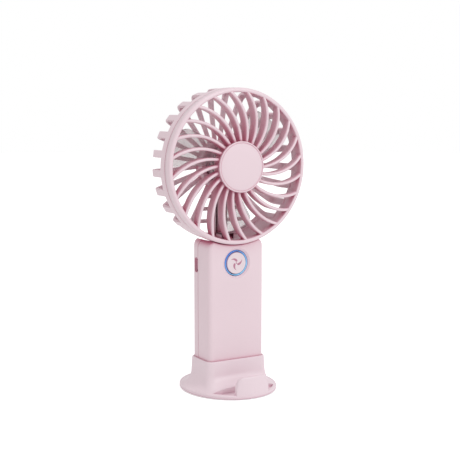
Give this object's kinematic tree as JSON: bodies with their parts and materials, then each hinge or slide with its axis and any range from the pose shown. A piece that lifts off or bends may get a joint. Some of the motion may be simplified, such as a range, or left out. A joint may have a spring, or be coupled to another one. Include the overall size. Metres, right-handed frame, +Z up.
{
  "type": "handheld electric fan",
  "caption": "Handheld electric fan with a round swirl grille, a flat oblong handle with a lit push button, and an oval dock that doubles as a phone stand.",
  "frame": {"origin": "on the floor under the middle of the dock, where the handle's middle axis meets the floor", "axes": "+Z up along the handle, -Y the way the fan blows (the front), +X to the right seen from the front"},
  "size_m": [0.0982, 0.0682, 0.1934],
  "materials": {
    "shell": "satin",
    "impeller": "satin",
    "pad": "matte",
    "light": "lit",
    "steel": "satin",
    "brass": "satin",
    "winding": "lacquered",
    "magnet": "matte",
    "endcap": "matte",
    "dark": "matte",
    "board": "satin",
    "cell": "wrapped",
    "foam": "matte",
    "coil": "matte",
    "led": "clear",
    "red_wire": "satin",
    "black_wire": "satin"
  },
  "bodies": {
    "dock": {"dock_base": "shell", "dock_pad": "pad"},
    "fan": {"handle_front": "shell", "handle_rear": "shell", "front_grille": "shell", "grille_cap": "shell", "rear_cage": "shell", "light_ring": "light", "motor_can": "steel", "motor_magnet": "magnet", "motor_endcap": "endcap", "motor_bush_front": "brass", "motor_bush_rear": "brass", "motor_terminal_red": "brass", "motor_terminal_black": "brass", "battery_cell": "cell", "battery_tab_negative": "steel", "battery_tab_positive": "steel", "battery_foam": "foam", "control_board": "board", "usb_socket": "steel", "charger_chip": "dark", "driver_chip": "dark", "inductor": "coil", "status_led_left": "led", "status_led_right": "led", "switch_body": "dark", "motor_lead_red": "red_wire", "motor_lead_black": "black_wire", "battery_lead_red": "red_wire", "battery_lead_black": "black_wire", "handle_screw_1": "steel", "handle_screw_2": "steel", "handle_screw_3": "steel", "handle_screw_4": "steel", "neck_screw_1": "steel", "neck_screw_2": "steel"},
    "rotor": {"impeller": "impeller", "motor_shaft": "steel", "armature": "winding", "commutator": "brass"},
    "button": {"power_button": "shell"},
    "switch": {"switch_stem": "dark"}
  },
  "joints": [
    {"name": "fan_lift", "type": "slide", "parent": "dock", "child": "fan", "axis": [0, 0, 1], "range_m": [0, 0.03]},
    {"name": "impeller_spin", "type": "hinge", "parent": "fan", "child": "rotor", "pos_m": [0, 0, 0.1443], "axis": [0, -1, 0], "continuous": true},
    {"name": "button_press", "type": "slide", "parent": "fan", "child": "button", "axis": [0, 1, 0], "range_m": [0, 0.0005], "stiffness_N_per_m": 600},
    {"name": "stem_press", "type": "slide", "parent": "fan", "child": "switch", "axis": [0, 1, 0], "range_m": [0, 0.0005]}
  ],
  "couplings": [
    {"joint": "stem_press", "follows": "button_press", "ratio": 1}
  ]
}
